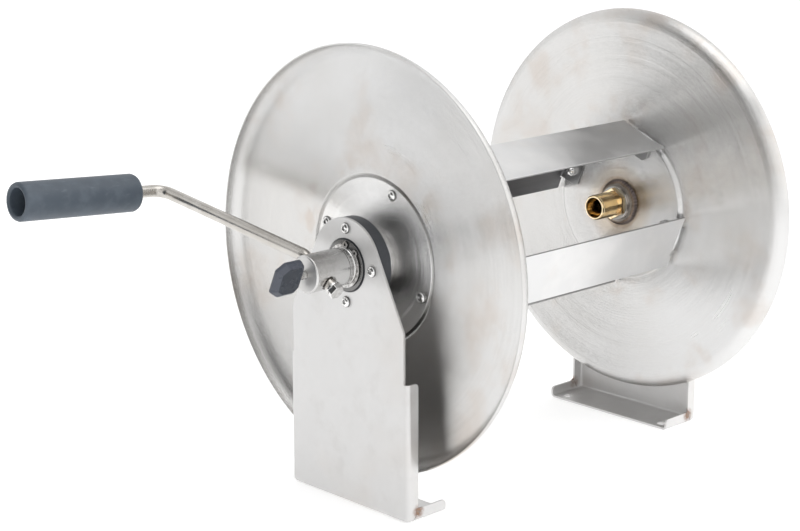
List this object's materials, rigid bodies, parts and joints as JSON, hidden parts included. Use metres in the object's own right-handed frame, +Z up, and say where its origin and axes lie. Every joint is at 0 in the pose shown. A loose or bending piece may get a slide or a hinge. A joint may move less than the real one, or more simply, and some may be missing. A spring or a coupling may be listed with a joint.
{
  "type": "hose reel",
  "caption": "Hand-cranked hose reel: open drum between two spun steel discs on folded brackets, with crank, clamp knob, hose connector and inlet swivel.",
  "frame": {"origin": "centre of the rectangle of four foot holes, on the floor", "axes": "+Z up, +X along the drum axis with the crank at -X, -Y towards the front"},
  "size_m": [0.679, 0.4467, 0.4294],
  "materials": {
    "near_bracket": "bead blasted sheet, dull",
    "far_bracket": "bead blasted sheet, dull",
    "near_bearing_block": "turned plastic, dull",
    "far_bearing_block": "turned plastic, dull",
    "near_bearing_screws": "bright fastener steel",
    "far_bearing_screws": "bright fastener steel",
    "near_thrust_washer": "satin",
    "far_thrust_washer": "satin",
    "near_circlip": "satin",
    "far_circlip": "satin",
    "near_disc": "spun sheet with rings of fine brushing",
    "far_disc": "spun sheet with rings of fine brushing",
    "drum_bar_1": "satin",
    "drum_bar_2": "satin",
    "drum_bar_3": "satin",
    "drum_bar_4": "satin",
    "near_hub_plate": "satin",
    "far_hub_plate": "satin",
    "near_bar_screws": "bright fastener steel",
    "far_bar_screws": "bright fastener steel",
    "near_bar_nuts": "bright fastener steel",
    "far_bar_nuts": "bright fastener steel",
    "near_collar": "satin",
    "far_collar": "satin",
    "near_weld_bead": "weld metal with a heat tint",
    "far_weld_bead": "weld metal with a heat tint",
    "crank_axle": "satin",
    "inlet_axle": "satin",
    "hose_connector": "machined brass",
    "crank_rod": "satin",
    "stop_bolt": "bright fastener steel",
    "stop_washer": "satin",
    "grip_retainer": "satin",
    "crank_grip": "moulded, dull slate grey",
    "knob_stud": "bright fastener steel",
    "clamp_knob": "moulded, dull slate grey",
    "swivel_elbow": "machined brass",
    "swivel_seals": "soft seal cord",
    "swivel_clip": "satin",
    "inlet_nipple": "machined brass"
  },
  "bodies": {
    "frame": {"near_bracket": "near_bracket", "far_bracket": "far_bracket", "near_bearing_block": "near_bearing_block", "far_bearing_block": "far_bearing_block", "near_bearing_screws": "near_bearing_screws", "far_bearing_screws": "far_bearing_screws"},
    "drum": {"near_thrust_washer": "near_thrust_washer", "far_thrust_washer": "far_thrust_washer", "near_circlip": "near_circlip", "far_circlip": "far_circlip", "near_disc": "near_disc", "far_disc": "far_disc", "drum_bar_1": "drum_bar_1", "drum_bar_2": "drum_bar_2", "drum_bar_3": "drum_bar_3", "drum_bar_4": "drum_bar_4", "near_hub_plate": "near_hub_plate", "far_hub_plate": "far_hub_plate", "near_bar_screws": "near_bar_screws", "far_bar_screws": "far_bar_screws", "near_bar_nuts": "near_bar_nuts", "far_bar_nuts": "far_bar_nuts", "near_collar": "near_collar", "far_collar": "far_collar", "near_weld_bead": "near_weld_bead", "far_weld_bead": "far_weld_bead", "crank_axle": "crank_axle", "inlet_axle": "inlet_axle", "hose_connector": "hose_connector", "swivel_seals": "swivel_seals"},
    "arm": {"crank_rod": "crank_rod", "stop_bolt": "stop_bolt", "stop_washer": "stop_washer", "grip_retainer": "grip_retainer"},
    "grip": {"crank_grip": "crank_grip"},
    "knob_screw": {"knob_stud": "knob_stud"},
    "knob": {"clamp_knob": "clamp_knob"},
    "swivel": {"swivel_elbow": "swivel_elbow", "swivel_clip": "swivel_clip", "inlet_nipple": "inlet_nipple"}
  },
  "joints": [
    {"name": "drum_spin", "type": "hinge", "parent": "frame", "child": "drum", "pos_m": [0, 0, 0.2295], "axis": [1, 0, 0], "continuous": true},
    {"name": "arm_turn", "type": "hinge", "parent": "drum", "child": "arm", "pos_m": [-0.2455, 0, 0.2295], "axis": [0, 0.8572, 0.515], "range_deg": [-15, 90]},
    {"name": "grip_spin", "type": "hinge", "parent": "arm", "child": "grip", "pos_m": [-0.2455, 0.22863, 0.26951], "axis": [-0.9966, -0.0111, 0.0821], "continuous": true},
    {"name": "knob_feed", "type": "slide", "parent": "drum", "child": "knob_screw", "axis": [-1, 0, 0], "range_m": [0, 0.005]},
    {"name": "knob_turn", "type": "hinge", "parent": "knob_screw", "child": "knob", "pos_m": [-0.284, 0, 0.2295], "axis": [-1, 0, 0], "range_deg": [0, 1440]},
    {"name": "swivel_turn", "type": "hinge", "parent": "frame", "child": "swivel", "pos_m": [0.235, 0, 0.2295], "axis": [1, 0, 0], "continuous": true}
  ],
  "couplings": [
    {"joint": "knob_turn", "follows": "knob_feed", "rad_per_m": 5026.5}
  ]
}
